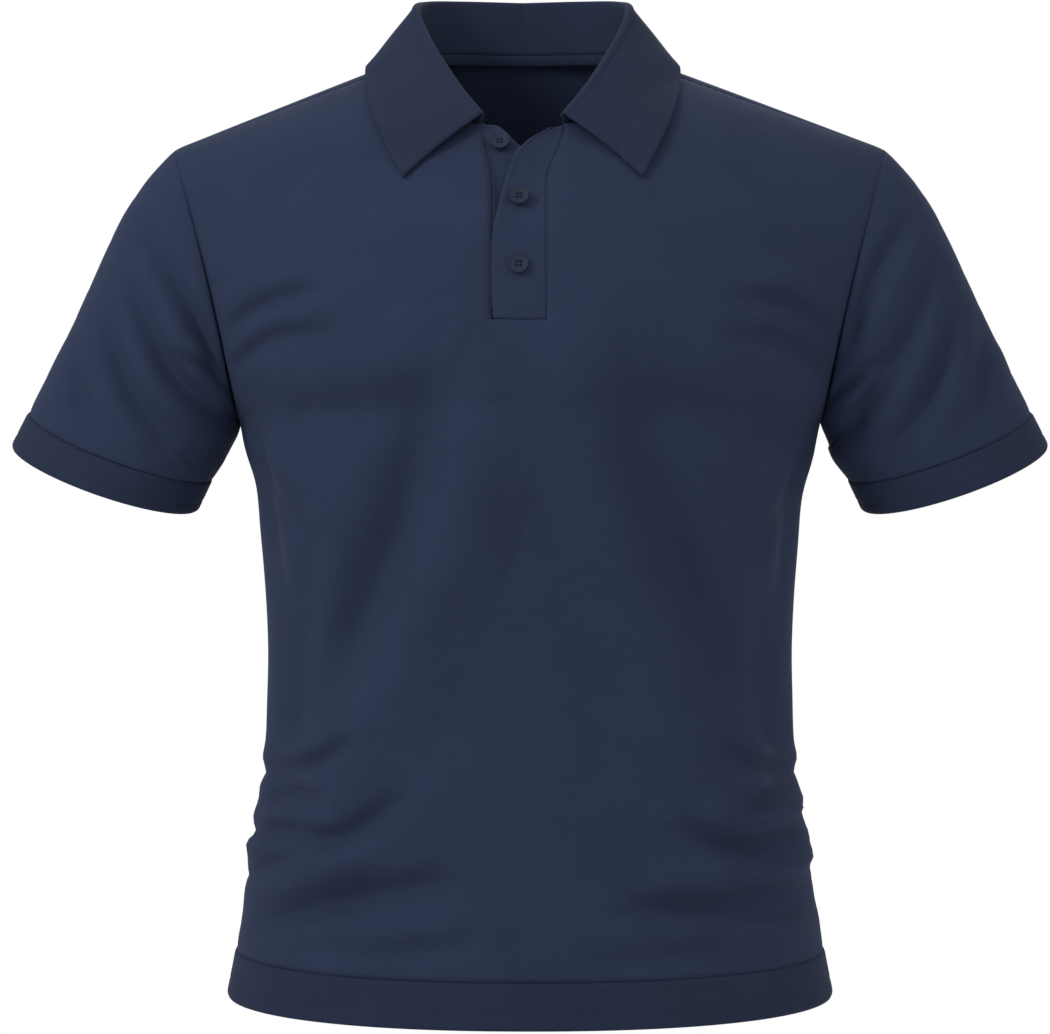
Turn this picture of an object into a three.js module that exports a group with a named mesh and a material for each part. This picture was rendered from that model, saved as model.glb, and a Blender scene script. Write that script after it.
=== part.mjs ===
// A men's polo shirt in its worn, hollow form: fine pique knit, short set-in sleeves,
// a folded collar and a three-button placket with the top button undone.
// Millimetres, +Z up, front towards -Y, the wearer's left towards +X.
// The origin is at the centre of the neck base, level with the shoulder points.
import * as THREE from "three";

// ---- Driving dimensions ----
const WALL = 1.8; // thickness of the knit and its seam allowances
const BAND_WALL = 2.4; // thickness of the doubled cuff and hem bands
const TRIM_WALL = 1.2; // thickness of the neck tape
const SEAM_GAP = 0.4; // space between two pieces at a seam
const UNDERARM_Z = -241;
const HEM_SEAM_Z = -609;
const HEM_Z = -640;
const SQUARENESS = 2.2; // exponent of the body's oval sections, 2 for an ellipse
const NECK = { x: -5, half: 80, front: 80, back: 70 };
const NECK_END = 20; // degrees from centre front where the neckline meets the placket
const BACK_STRIP = 14; // half the flat strip down the middle of the back
const SHOULDER_FORWARD = 8; // the shoulder seam lies this far in front of the ridge
const PLACKET = { x: -7.5, half: 18, bottom: -180, flareFrom: -88, top: -44 };
const ARMHOLE = { topX: 248, topZ: -52, underX: 203, front: 63, back: 66, bow: 6 };
const SLEEVE_END = { topX: 350.5, topZ: -235.5, underX: 222.6, underZ: -283 };
const CUFF_END = { topX: 362, topZ: -258, underX: 232.8, underZ: -304.5 };
const CUFF_REACH = 57.3; // half the cuff's depth from front to back
const CUFF_START = 0.016; // share of the cuff's length that is the gap at its seam
const CUFF_TILT = 12; // the front of the cuff hangs lower than its centre by this much
const BUTTON = { radius: 6.5, thick: 2.4, bevel: 0.4, hole: 0.9, holeSpread: 1.7 };
const BUTTON_STANDOFF = 0.5; // space under a button
const ROLL_RADIUS = 3.2; // of the collar's fold
const LEAF_LIFT = 4; // the collar leaf stands off the body by this much
const LEAF_BULGE = 3; // the leaf's outward curve between its fold and its edge
const PLACKET_GAP = 1.3; // space between each placket band and the slit's edges
const UNDER_FOOT = { x: -25, step: 8 }; // the under-placket's lower columns
// The tape starts at from degrees, is high tall, and leans in by slope.
const TAPE = { from: 112, high: 7.5, slope: 0.2, inset: 0.6 };

// ---- Tables: one row for each section, lowest first ----
const BODY = [
  { z: -640, half: 211, front: 130, back: 122 },
  { z: -609, half: 205, front: 128, back: 120 },
  { z: -563, half: 197.5, front: 124, back: 114 },
  { z: -520, half: 192.5, front: 120, back: 107 },
  { z: -487, half: 187, front: 117, back: 101 },
  { z: -440, half: 184, front: 114, back: 95 },
  { z: -395, half: 183, front: 114, back: 93 },
  { z: -339, half: 186.5, front: 118, back: 99 },
  { z: -290, half: 193.5, front: 126, back: 110 },
  { z: -241, half: 203, front: 134, back: 122 },
];
const FRONT_RISE = [
  { z: -241, y: -134 },
  { z: -200, y: -137 },
  { z: -160, y: -134 },
  { z: -120, y: -123 },
  { z: -80, y: -101 },
  { z: -44, y: -76 },
];
const BACK_RISE = [
  { z: -241, y: 122 },
  { z: -200, y: 128 },
  { z: -150, y: 131 },
  { z: -100, y: 126 },
  { z: -50, y: 111 },
  { z: -10, y: 91 },
  { z: 24, y: 70 },
];
// Height of the neckline at each angle from centre front.
const NECKLINE = [
  { angle: 20, z: -44 },
  { angle: 40, z: -30 },
  { angle: 65, z: -7 },
  { angle: 90, z: 12 },
  { angle: 120, z: 19 },
  { angle: 150, z: 23 },
  { angle: 180, z: 24 },
];
// The sleeve's top and under lines, from the armhole (0) to the cuff seam (1).
const SLEEVE = [
  { at: 0, topX: 248, topZ: -52, underX: 203, underZ: -241, front: 63, back: 66 },
  { at: 0.18, topX: 270, topZ: -77, underX: 205.5, underZ: -249, front: 64, back: 66 },
  { at: 0.4, topX: 291, topZ: -112, underX: 209, underZ: -258, front: 62, back: 63 },
  { at: 0.7, topX: 319, topZ: -173, underX: 214, underZ: -270, front: 59, back: 60 },
  { at: 1, topX: 350.5, topZ: -235.5, underX: 222.6, underZ: -283, front: 57, back: 57 },
];
// The collar's roll line and the edge of its leaf, measured from the neck's centre line.
const COLLAR = [
  { angle: 20, rollX: 28, rollY: -81, rollZ: -40, edgeX: 80, edgeY: -92, edgeZ: -82 },
  { angle: 36, rollX: 43, rollY: -64, rollZ: -20, edgeX: 96, edgeY: -62, edgeZ: -50 },
  { angle: 55, rollX: 58, rollY: -40, rollZ: 5, edgeX: 107, edgeY: -32, edgeZ: -19 },
  { angle: 72, rollX: 69, rollY: -17, rollZ: 27, edgeX: 110, edgeY: -6, edgeZ: 5 },
  { angle: 90, rollX: 75, rollY: 5, rollZ: 46, edgeX: 106, edgeY: 20, edgeZ: 12 },
  { angle: 115, rollX: 68, rollY: 36, rollZ: 55, edgeX: 87, edgeY: 55, edgeZ: 13 },
  { angle: 145, rollX: 43, rollY: 63, rollZ: 60, edgeX: 53, edgeY: 81, edgeZ: 14 },
  { angle: 180, rollX: 0, rollY: 75, rollZ: 61, edgeX: 0, edgeY: 90, edgeZ: 16 },
];
// The over-placket's leading edge, which turns open above the middle button.
const LEADING_EDGE = [
  { at: 0, x: -24.6, z: -179.1, lift: 0.5 },
  { at: 0.4, x: -24.6, z: -124, lift: 0.8 },
  { at: 0.55, x: -20.5, z: -101, lift: 2.5 },
  { at: 0.7, x: -15, z: -80, lift: 4.5 },
  { at: 0.82, x: -9, z: -65.5, lift: 5 },
  { at: 0.92, x: 1, z: -55, lift: 4.5 },
  { at: 1, x: 12, z: -49, lift: 3 },
];
// The under-placket's top edge, seen between the collar's ends.
const UNDER_TOP = [
  { x: -31.5, z: -44.5 },
  { x: -22, z: -45.5 },
  { x: -12, z: -46.5 },
  { x: -2, z: -59 },
  { x: 7, z: -68 },
];
// proud: how far each button's back stands in front of the chest line.
const BUTTONS = [
  { name: "button_top", x: -20.5, z: -58, proud: -1.9 },
  { name: "button_middle", x: -7.5, z: -97.5, proud: 3.3 },
  { name: "button_bottom", x: -7.8, z: -143.5, proud: 0.9 },
];

// ---- Steps of the meshes ----
const HALF_COLUMNS = 8;
const LOWER_ROWS = 10;
const CHEST_ROWS = 3;
const SLIT_ROWS = 6;
const BACK_ROWS = 9;
const NECK_ROWS = 5;
const SLEEVE_ROWS = 6;
const RING_COLUMNS = 20;
const COLLAR_COLUMNS = 28;
const TAPE_COLUMNS = 12;
const PLACKET_ROWS = 14;
const PLACKET_COLUMNS = 4;
const SLIT_COLUMNS = 2;

const RADIANS = Math.PI / 180;
const vec = (x, y, z) => new THREE.Vector3(x, y, z);
const mix = (a, b, t) => a + (b - a) * t;
const ease = (t) => {
  const c = Math.min(Math.max(t, 0), 1);
  return c * c * (3 - 2 * c);
};

// One column of a table at a value of its key, along a smooth curve through its rows.
function read(table, key, column, at) {
  const last = table.length - 1;
  let i = 0;
  while (i < last - 1 && at > table[i + 1][key]) i++;
  const slope = (k) => {
    const a = table[Math.max(k - 1, 0)];
    const b = table[Math.min(k + 1, last)];
    return (b[column] - a[column]) / (b[key] - a[key]);
  };
  const [a, b] = [table[i], table[i + 1]];
  const h = b[key] - a[key];
  const t = Math.min(Math.max((at - a[key]) / h, 0), 1);
  const bend = t * t * (3 - 2 * t);
  const curve = h * (t * (1 - t) * (1 - t) * slope(i) - t * t * (1 - t) * slope(i + 1));
  return mix(a[column], b[column], bend) + curve;
}

// ---- The body's surface ----
// Share of the full depth that is left at x on an oval section.
const across = (x, half) =>
  Math.max(1 - (Math.abs(x) / half) ** SQUARENESS, 0) ** (1 / SQUARENESS);

// A point of a body section, t = 0 at startX and 1 at the side seam.
function section(z, side, face, startX, t) {
  const half = read(BODY, "z", "half", z);
  const start = Math.asin((startX / half) ** (SQUARENESS / 2));
  const angle = mix(start, Math.PI / 2, t);
  const x = half * Math.sin(angle) ** (2 / SQUARENESS);
  const depth = read(BODY, "z", face, z) * across(x, half);
  return vec(side * x, face === "front" ? -depth : depth, z);
}

// The neckline, its angle measured from centre front to centre back.
function neckline(angle, side) {
  const a = angle * RADIANS;
  const reach = angle < 90 ? NECK.front : NECK.back;
  const x = NECK.x + side * NECK.half * Math.sin(a);
  return vec(x, -reach * Math.cos(a), read(NECKLINE, "angle", "z", angle));
}

// The armhole, its angle measured from the shoulder point down.
function armhole(angle, side, face) {
  const a = angle * RADIANS;
  const share = (1 + Math.cos(a)) / 2;
  const x = mix(ARMHOLE.underX, ARMHOLE.topX, share) - ARMHOLE.bow * Math.sin(a) ** 2;
  const y = Math.sin(a) * (face === "front" ? -ARMHOLE.front : ARMHOLE.back);
  return vec(side * x, y, mix(UNDERARM_Z, ARMHOLE.topZ, share));
}

const SEAM_NECK = Math.acos(SHOULDER_FORWARD / NECK.front) / RADIANS;
const BACK_END = 180 - Math.asin(BACK_STRIP / NECK.half) / RADIANS;
const SEAM_ARM = Math.asin(SHOULDER_FORWARD / ARMHOLE.front) / RADIANS;

// The slit's edge in the front: straight, then flared towards the neckline.
function slit(z, side) {
  const end = side * NECK.half * Math.sin(NECK_END * RADIANS) + NECK.x;
  const flare = ease((z - PLACKET.flareFrom) / (PLACKET.top - PLACKET.flareFrom));
  return mix(PLACKET.x + side * PLACKET.half, end, flare);
}
const chest = (x, z) => read(FRONT_RISE, "z", "y", z) * across(x, ARMHOLE.underX);

// A patch between a bottom arc, an inner line, an outer line and the shoulder seam.
function patch(rows, inner, outer, bottom) {
  const points = [];
  for (let i = 1; i <= rows; i++) {
    const v = i / rows;
    const line = [];
    for (let j = 0; j <= HALF_COLUMNS; j++) {
      const u = j / HALF_COLUMNS;
      const point = inner(i).clone().lerp(outer(i), u);
      const flat = bottom(0).clone().lerp(bottom(1), u);
      point.addScaledVector(bottom(u).sub(flat), 1 - v);
      line.push(point);
    }
    points.push(line);
  }
  return points;
}

// Half of the front or back, from the hem seam up to the shoulder seam.
function halfPanel(face, side) {
  const front = face === "front";
  const startX = front ? Math.abs(slit(UNDERARM_Z, side)) : BACK_STRIP;
  const arc = (z) => (t) => section(z, side, face, startX, t);
  const points = [];
  for (let i = 0; i <= LOWER_ROWS; i++) {
    const z = mix(HEM_SEAM_Z + SEAM_GAP / 2, UNDERARM_Z, i / LOWER_ROWS);
    const line = [];
    for (let j = 0; j <= HALF_COLUMNS; j++) line.push(arc(z)(j / HALF_COLUMNS));
    points.push(line);
  }
  const rise = front ? CHEST_ROWS + SLIT_ROWS : BACK_ROWS;
  const rows = rise + NECK_ROWS;
  const inner = (i) => {
    if (i > rise && front)
      return neckline(mix(NECK_END, SEAM_NECK, (i - rise) / NECK_ROWS), side);
    if (i > rise) return neckline(mix(BACK_END, SEAM_NECK, (i - rise) / NECK_ROWS), side);
    if (front) {
      const z =
        i <= CHEST_ROWS
          ? mix(UNDERARM_Z, PLACKET.bottom, i / CHEST_ROWS)
          : mix(PLACKET.bottom, PLACKET.top, (i - CHEST_ROWS) / SLIT_ROWS);
      const x = slit(z, side);
      return vec(x, chest(x, z), z);
    }
    const z = mix(UNDERARM_Z, BACK_RISE.at(-1).z, i / rise);
    const depth = read(BACK_RISE, "z", "y", z) * across(BACK_STRIP, ARMHOLE.underX);
    return vec(NECK.x * ease(i / rise) + side * BACK_STRIP, depth, z);
  };
  const outer = (i) => {
    const t = i / rows;
    const angle = front ? mix(180, SEAM_ARM, t) : mix(180, -SEAM_ARM, t);
    return armhole(Math.abs(angle), side, angle < 0 ? "front" : face);
  };
  return points.concat(patch(rows, inner, outer, arc(UNDERARM_Z)));
}

// Both halves of a panel side by side, from one side seam to the other.
function wholePanel(face, middleColumns) {
  const right = halfPanel(face, -1);
  const left = halfPanel(face, 1);
  return right.map((line, i) => {
    const middle = [];
    for (let k = 1; k < middleColumns; k++)
      middle.push(line[0].clone().lerp(left[i][0], k / middleColumns));
    return [...line.slice().reverse(), ...middle, ...left[i]];
  });
}

// ---- From points to solids ----
const shirt = new THREE.Group();
const CLOTH = { color: 0x2c3449, roughness: 0.9, metalness: 0 };
const RIB = { color: 0x252c3e, roughness: 0.9, metalness: 0 };
const SHELL = { color: 0x232a3a, roughness: 0.35, metalness: 0 };

// A closed wall of cloth: rows of points on its outer face, moved in by its thickness.
// ring joins each row's ends, absent leaves cells open, level straightens edge normals.
function wall(name, look, rows, options = {}) {
  const { thick = WALL, ring = false, flip = false } = options;
  const absent = options.absent ?? (() => false);
  const level = options.level ?? (() => {});
  const height = rows.length;
  const width = rows[0].length;
  const cellsAcross = ring ? width : width - 1;
  const present = (i, j) =>
    i >= 0 && i < height - 1 && j >= 0 && j < cellsAcross && !absent(i, j);
  const index = (i, j) => i * width + (j % width);
  const normals = rows.map((line) => line.map(() => vec(0, 0, 0)));
  for (let i = 0; i < height - 1; i++)
    for (let j = 0; j < cellsAcross; j++) {
      if (!present(i, j)) continue;
      const next = (j + 1) % width;
      const one = rows[i + 1][next].clone().sub(rows[i][j]);
      const two = rows[i + 1][j].clone().sub(rows[i][next]);
      const cross = one.cross(two).multiplyScalar(flip ? -1 : 1).normalize();
      for (const [a, b] of [[i, j], [i + 1, j], [i, next], [i + 1, next]])
        normals[a][b].add(cross);
    }
  const outer = [];
  const inner = [];
  rows.forEach((line, i) =>
    line.forEach((point, j) => {
      const normal = normals[i][j];
      level(normal, i, j);
      normal.normalize();
      outer.push(point.x, point.y, point.z);
      const moved = point.clone().addScaledVector(normal, -thick);
      inner.push(moved.x, moved.y, moved.z);
    }),
  );
  const below = height * width;
  const faces = [];
  const quad = (a, b, c, d) => {
    const corners = flip ? [a, c, b, a, d, c] : [a, b, c, a, c, d];
    faces.push(...corners);
  };
  for (let i = 0; i < height - 1; i++)
    for (let j = 0; j < cellsAcross; j++) {
      if (!present(i, j)) continue;
      const a = index(i, j);
      const b = index(i + 1, j);
      const c = index(i + 1, j + 1);
      const d = index(i, j + 1);
      quad(a, d, c, b);
      quad(below + a, below + b, below + c, below + d);
      const left = ring ? present(i, (j + cellsAcross - 1) % cellsAcross) : present(i, j - 1);
      const right = ring ? present(i, (j + 1) % cellsAcross) : present(i, j + 1);
      if (!present(i - 1, j)) quad(a, below + a, below + d, d);
      if (!present(i + 1, j)) quad(c, below + c, below + b, b);
      if (!left) quad(b, below + b, below + a, a);
      if (!right) quad(d, below + d, below + c, c);
    }
  const used = [...new Set(faces)].sort((p, q) => p - q);
  const place = new Map(used.map((v, k) => [v, k]));
  const all = outer.concat(inner);
  const positions = used.flatMap((v) => all.slice(v * 3, v * 3 + 3));
  const geometry = new THREE.BufferGeometry();
  geometry.setAttribute("position", new THREE.Float32BufferAttribute(positions, 3));
  geometry.setIndex(faces.map((v) => place.get(v)));
  geometry.computeVertexNormals();
  const mesh = new THREE.Mesh(geometry, new THREE.MeshStandardMaterial(look));
  mesh.name = name;
  shirt.add(mesh);
  return normals;
}

// Moves a grid along Y, so that front and back keep the seam's space between them.
const apart = (rows, y) => rows.map((line) => line.map((p) => p.clone().add(vec(0, y, 0))));

// ---- Front and back ----
const frontRows = apart(wholePanel("front", SLIT_COLUMNS), -SEAM_GAP / 2);
const backRows = apart(wholePanel("back", SLIT_COLUMNS), SEAM_GAP / 2);
const middle = (j) => j >= HALF_COLUMNS && j < HALF_COLUMNS + SLIT_COLUMNS;
const sideSeam = (rows) => (normal, i, j) => {
  const atSide = (j === 0 || j === rows[0].length - 1) && i <= LOWER_ROWS;
  if (atSide || i === rows.length - 1) normal.y = 0;
};
wall("front", CLOTH, frontRows, {
  absent: (i, j) => i >= LOWER_ROWS + CHEST_ROWS && middle(j),
  level: sideSeam(frontRows),
});
wall("back", CLOTH, backRows, {
  flip: true,
  absent: (i, j) => i >= LOWER_ROWS + BACK_ROWS && middle(j),
  level: sideSeam(backRows),
});

// ---- Hem bands ----
const BAND_COLUMNS = 2 * HALF_COLUMNS;
for (const [face, y] of [["front", -SEAM_GAP / 2], ["back", SEAM_GAP / 2]]) {
  const rows = [];
  for (const z of [HEM_Z, (HEM_Z + HEM_SEAM_Z) / 2, HEM_SEAM_Z - SEAM_GAP / 2]) {
    const line = [];
    for (let j = -HALF_COLUMNS; j <= HALF_COLUMNS; j++)
      line.push(section(z, Math.sign(j) || 1, face, 0, Math.abs(j) / HALF_COLUMNS));
    rows.push(line);
  }
  wall(`hem_band_${face}`, RIB, apart(rows, y), {
    thick: BAND_WALL,
    flip: face === "back",
    level: (normal, i, j) => {
      if (j === 0 || j === BAND_COLUMNS) normal.y = 0;
    },
  });
}

// ---- Sleeves and cuffs ----
// A ring between a top and an under point; its front hangs lower by tilt.
function ringOf(top, under, reach, side, bow, tilt) {
  const line = [];
  for (let j = 0; j < RING_COLUMNS; j++) {
    const a = (2 * Math.PI * j) / RING_COLUMNS;
    const share = (1 + Math.cos(a)) / 2;
    const depth = Math.sin(a) > 0 ? reach.front : reach.back;
    const x = mix(under.x, top.x, share) - bow * Math.sin(a) ** 2;
    const z = mix(under.z, top.z, share) - tilt * Math.sin(a);
    line.push(vec(side * x, -depth * Math.sin(a), z));
  }
  return line;
}
for (const [hand, side] of [["left", 1], ["right", -1]]) {
  const rows = [];
  for (let i = 0; i <= SLEEVE_ROWS; i++) {
    const at = i / SLEEVE_ROWS;
    const value = (column) => read(SLEEVE, "at", column, at);
    const shift = i === 0 ? SEAM_GAP : 0;
    const top = { x: value("topX") + shift, z: value("topZ") };
    const under = { x: value("underX") + shift, z: value("underZ") };
    const reach = { front: value("front"), back: value("back") };
    const bow = ARMHOLE.bow * (1 - at);
    rows.push(ringOf(top, under, reach, side, bow, CUFF_TILT * ease(at)));
  }
  wall(`sleeve_${hand}`, CLOTH, rows, {
    ring: true,
    flip: side > 0,
    level: (normal, i) => {
      if (i === 0) normal.x = 0;
    },
  });
  const cuff = [];
  for (const at of [CUFF_START, 0.5, 1]) {
    const between = (key) => mix(SLEEVE_END[key], CUFF_END[key], at);
    const top = { x: between("topX"), z: between("topZ") };
    const under = { x: between("underX"), z: between("underZ") };
    const reach = { front: CUFF_REACH, back: CUFF_REACH };
    cuff.push(ringOf(top, under, reach, side, 0, CUFF_TILT));
  }
  wall(`cuff_${hand}`, RIB, cuff, { ring: true, flip: side > 0, thick: BAND_WALL });
}

// ---- Collar ----
// The y of a panel's outer face at a place seen from the front.
function faceAt(rows, x, z, nearest) {
  let best = null;
  const corner = (p, q, r) => {
    const area = (q.x - p.x) * (r.z - p.z) - (r.x - p.x) * (q.z - p.z);
    if (Math.abs(area) < 1e-6) return;
    const s = ((x - p.x) * (r.z - p.z) - (r.x - p.x) * (z - p.z)) / area;
    const t = ((q.x - p.x) * (z - p.z) - (x - p.x) * (q.z - p.z)) / area;
    if (s < 0 || t < 0 || s + t > 1) return;
    const y = p.y + s * (q.y - p.y) + t * (r.y - p.y);
    if (best === null || nearest(y, best)) best = y;
  };
  for (let i = LOWER_ROWS; i < rows.length - 1; i++)
    for (let j = 0; j < rows[0].length - 1; j++) {
      corner(rows[i][j], rows[i + 1][j], rows[i][j + 1]);
      corner(rows[i + 1][j + 1], rows[i + 1][j], rows[i][j + 1]);
    }
  return best;
}
const collarRow = (angle, side) => {
  const value = (column) => read(COLLAR, "angle", column, angle);
  return {
    roll: vec(NECK.x + side * value("rollX"), value("rollY"), value("rollZ")),
    edge: vec(NECK.x + side * value("edgeX"), value("edgeY"), value("edgeZ")),
  };
};
const collarRows = [[], [], [], [], [], [], [], [], []];
for (let j = 0; j <= COLLAR_COLUMNS; j++) {
  const around = mix(NECK_END, 360 - NECK_END, j / COLLAR_COLUMNS);
  const side = around <= 180 ? 1 : -1;
  const angle = around <= 180 ? around : 360 - around;
  const { roll, edge } = collarRow(angle, side);
  const a = angle * RADIANS;
  const out = vec(side * Math.sin(a), -Math.cos(a), 0);
  const ahead = collarRow(Math.min(angle + 4, 180), side).roll;
  const behind = collarRow(Math.max(angle - 4, NECK_END), side).roll;
  const along = ahead.sub(behind).normalize();
  out.addScaledVector(along, -out.dot(along)).normalize();
  const up = out.clone().cross(along);
  if (up.z < 0) up.negate();
  const seam = neckline(angle, side);
  const inwards = vec(side * Math.sin(a), -Math.cos(a), 0);
  seam.addScaledVector(inwards, -(WALL + SEAM_GAP)).add(vec(0, 0, 2 * SEAM_GAP));
  const foldIn = roll.clone().addScaledVector(out, -ROLL_RADIUS);
  const foldTop = roll.clone().addScaledVector(up, ROLL_RADIUS);
  const foldOut = roll.clone().addScaledVector(out, ROLL_RADIUS);
  collarRows[0].push(seam);
  collarRows[1].push(seam.clone().lerp(foldIn, 0.5));
  collarRows[2].push(foldIn);
  collarRows[3].push(foldTop);
  collarRows[4].push(foldOut);
  for (const [row, share] of [[5, 0.25], [6, 0.5], [7, 0.75], [8, 1]]) {
    const point = foldOut.clone().lerp(edge, share);
    point.addScaledVector(out, LEAF_BULGE * Math.sin(Math.PI * share));
    const lift = LEAF_LIFT + WALL;
    const chestY = faceAt(frontRows, point.x, point.z, (y, best) => y < best);
    const napeY = faceAt(backRows, point.x, point.z, (y, best) => y > best);
    if (angle < 80 && chestY !== null) point.y = Math.min(point.y, chestY - lift);
    if (angle > 85 && napeY !== null) point.y = Math.max(point.y, napeY + lift);
    collarRows[row].push(point);
  }
}
wall("collar", CLOTH, collarRows, { flip: true });

// ---- Neck tape, inside the back neck seam ----
const tapeRows = [[], []];
for (let j = 0; j <= TAPE_COLUMNS; j++) {
  const around = mix(TAPE.from, 360 - TAPE.from, j / TAPE_COLUMNS);
  const side = around <= 180 ? 1 : -1;
  const angle = around <= 180 ? around : 360 - around;
  const a = angle * RADIANS;
  const out = vec(side * Math.sin(a), -Math.cos(a), 0);
  const inset = WALL + TRIM_WALL + SEAM_GAP + TAPE.inset;
  const seam = neckline(angle, side).addScaledVector(out, -inset);
  const drop = vec(0, 0, -TAPE.high).addScaledVector(out, TAPE.slope * TAPE.high);
  tapeRows[1].push(seam.clone().add(vec(0, 0, -SEAM_GAP)));
  tapeRows[0].push(seam.clone().add(drop));
}
wall("neck_tape", RIB, tapeRows, { thick: TRIM_WALL, flip: true });

// ---- Placket bands ----
const overRows = [];
for (let i = 0; i <= PLACKET_ROWS; i++) {
  const at = i / PLACKET_ROWS;
  const edge = {
    x: read(LEADING_EDGE, "at", "x", at),
    z: read(LEADING_EDGE, "at", "z", at),
    lift: read(LEADING_EDGE, "at", "lift", at),
  };
  const rightZ = mix(LEADING_EDGE[0].z, PLACKET.top - 1.5, at);
  const rightX = slit(rightZ, 1) - PLACKET_GAP;
  const line = [];
  for (let j = 0; j <= PLACKET_COLUMNS; j++) {
    const t = j / PLACKET_COLUMNS;
    const x = mix(edge.x, rightX, t);
    const z = mix(edge.z, rightZ, t);
    const lift = mix(edge.lift, 0.5, ease(t));
    line.push(vec(x, chest(x, z) - lift, z));
  }
  overRows.push(line);
}
wall("placket_over", CLOTH, overRows);

const underRows = [];
for (let i = 0; i <= PLACKET_ROWS; i++) {
  const at = i / PLACKET_ROWS;
  const line = UNDER_TOP.map((top, j) => {
    const z = mix(PLACKET.bottom + 2, top.z, at);
    const foot = UNDER_FOOT.x + UNDER_FOOT.step * j;
    const x = j === 0 ? slit(z, -1) + PLACKET_GAP : mix(foot, top.x, at * at);
    return vec(x, chest(x, z) + WALL + SEAM_GAP, z);
  });
  underRows.push(line);
}
wall("placket_under", CLOTH, underRows);

// ---- Buttons: discs with four holes, lying on the placket bands ----
function buttonDisc() {
  const outline = new THREE.Shape().absarc(0, 0, BUTTON.radius - BUTTON.bevel, 0, 2 * Math.PI);
  for (let k = 0; k < 4; k++) {
    const a = Math.PI / 4 + (k * Math.PI) / 2;
    const [x, y] = [BUTTON.holeSpread * Math.cos(a), BUTTON.holeSpread * Math.sin(a)];
    outline.holes.push(new THREE.Path().absarc(x, y, BUTTON.hole, 0, 2 * Math.PI, true));
  }
  return new THREE.ExtrudeGeometry(outline, {
    depth: BUTTON.thick - 2 * BUTTON.bevel,
    bevelThickness: BUTTON.bevel,
    bevelSize: BUTTON.bevel,
    bevelSegments: 1,
    curveSegments: 8,
  });
}
for (const { name, x, z, proud } of BUTTONS) {
  const rise = chest(x, z + 4) - chest(x, z - 4);
  const tilt = Math.atan2(rise, 8);
  const mesh = new THREE.Mesh(buttonDisc(), new THREE.MeshStandardMaterial(SHELL));
  mesh.name = name;
  mesh.rotation.x = Math.PI / 2 - tilt;
  const normal = vec(0, -Math.cos(tilt), Math.sin(tilt));
  mesh.position.set(x, chest(x, z) - proud, z).addScaledVector(normal, BUTTON_STANDOFF);
  shirt.add(mesh);
}

export default shirt;
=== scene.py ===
import math

import bmesh
import bpy
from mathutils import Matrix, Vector
from mathutils.bvhtree import BVHTree


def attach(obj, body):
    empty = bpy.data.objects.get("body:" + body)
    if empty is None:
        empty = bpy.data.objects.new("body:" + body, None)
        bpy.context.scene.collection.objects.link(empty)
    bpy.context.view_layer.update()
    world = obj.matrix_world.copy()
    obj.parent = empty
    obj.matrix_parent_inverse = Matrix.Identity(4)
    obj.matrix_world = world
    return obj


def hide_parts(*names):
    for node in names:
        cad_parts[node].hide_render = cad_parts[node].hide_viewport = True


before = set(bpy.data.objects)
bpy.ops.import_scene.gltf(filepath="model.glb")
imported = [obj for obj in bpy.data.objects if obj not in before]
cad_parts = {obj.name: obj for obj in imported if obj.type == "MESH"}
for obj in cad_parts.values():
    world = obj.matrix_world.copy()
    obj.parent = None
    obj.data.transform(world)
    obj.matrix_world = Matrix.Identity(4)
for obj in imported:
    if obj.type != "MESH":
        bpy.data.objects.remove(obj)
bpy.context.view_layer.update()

# Studio: a white surround, a pale floor well below the hem, a strong lamp in front on
# the wearer's right, a weaker one on the left and a third behind. The camera is level,
# 2 m in front of the shirt's middle.
CAMERA_AWAY = 2.0
VIEW_WIDTH = 0.735  # of what the camera sees in the plane through the origin
AIM = (-0.0035, -0.309)  # x and z of the middle of the view
SENSOR = 36.0
bpy.ops.object.select_all(action="DESELECT")
bpy.ops.object.camera_add(location=(AIM[0], -CAMERA_AWAY, AIM[1]), rotation=(math.pi / 2, 0, 0))
camera = bpy.context.object
camera.data.sensor_width = SENSOR
camera.data.lens = SENSOR * CAMERA_AWAY / VIEW_WIDTH
bpy.context.scene.camera = camera
bpy.context.scene.view_settings.view_transform = "Standard"

LIT_POINT = (0, 0, -0.3)
for place, size, power in [
    ((-1.25, -1.0, 0.75), 0.5, 20.0),
    ((1.5, -0.9, 0.6), 0.9, 4.0),
    ((0.3, 1.5, 1.2), 1.4, 14.0),
]:
    bpy.ops.object.light_add(type="AREA", location=place)
    lamp = bpy.context.object
    lamp.data.size = size
    lamp.data.energy = power
    aim = Vector(LIT_POINT) - Vector(place)
    lamp.rotation_euler = aim.to_track_quat("-Z", "Y").to_euler()

world = bpy.data.worlds.new("white_surround")
world.use_nodes = True
world.node_tree.nodes["Background"].inputs["Color"].default_value = (1, 1, 1, 1)
world.node_tree.nodes["Background"].inputs["Strength"].default_value = 1.0
bpy.context.scene.world = world

FLOOR_Z = -0.92
bpy.ops.mesh.primitive_plane_add(size=2.3, location=(0, 0, FLOOR_Z))
floor = bpy.context.object
floor.name = "floor"
pale = bpy.data.materials.new("pale_floor")
pale.use_nodes = True
pale.node_tree.nodes["Principled BSDF"].inputs["Base Color"].default_value = (0.86, 0.86, 0.86, 1)
pale.node_tree.nodes["Principled BSDF"].inputs["Roughness"].default_value = 0.8
floor.data.materials.append(pale)

# Knit finishes: fine pique for the body, sleeves and collar, a flatter doubled knit for
# the bands. The loops are a small honeycomb in the cloth's own flat coordinates, which
# each piece carries as a UV map in metres.


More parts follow.
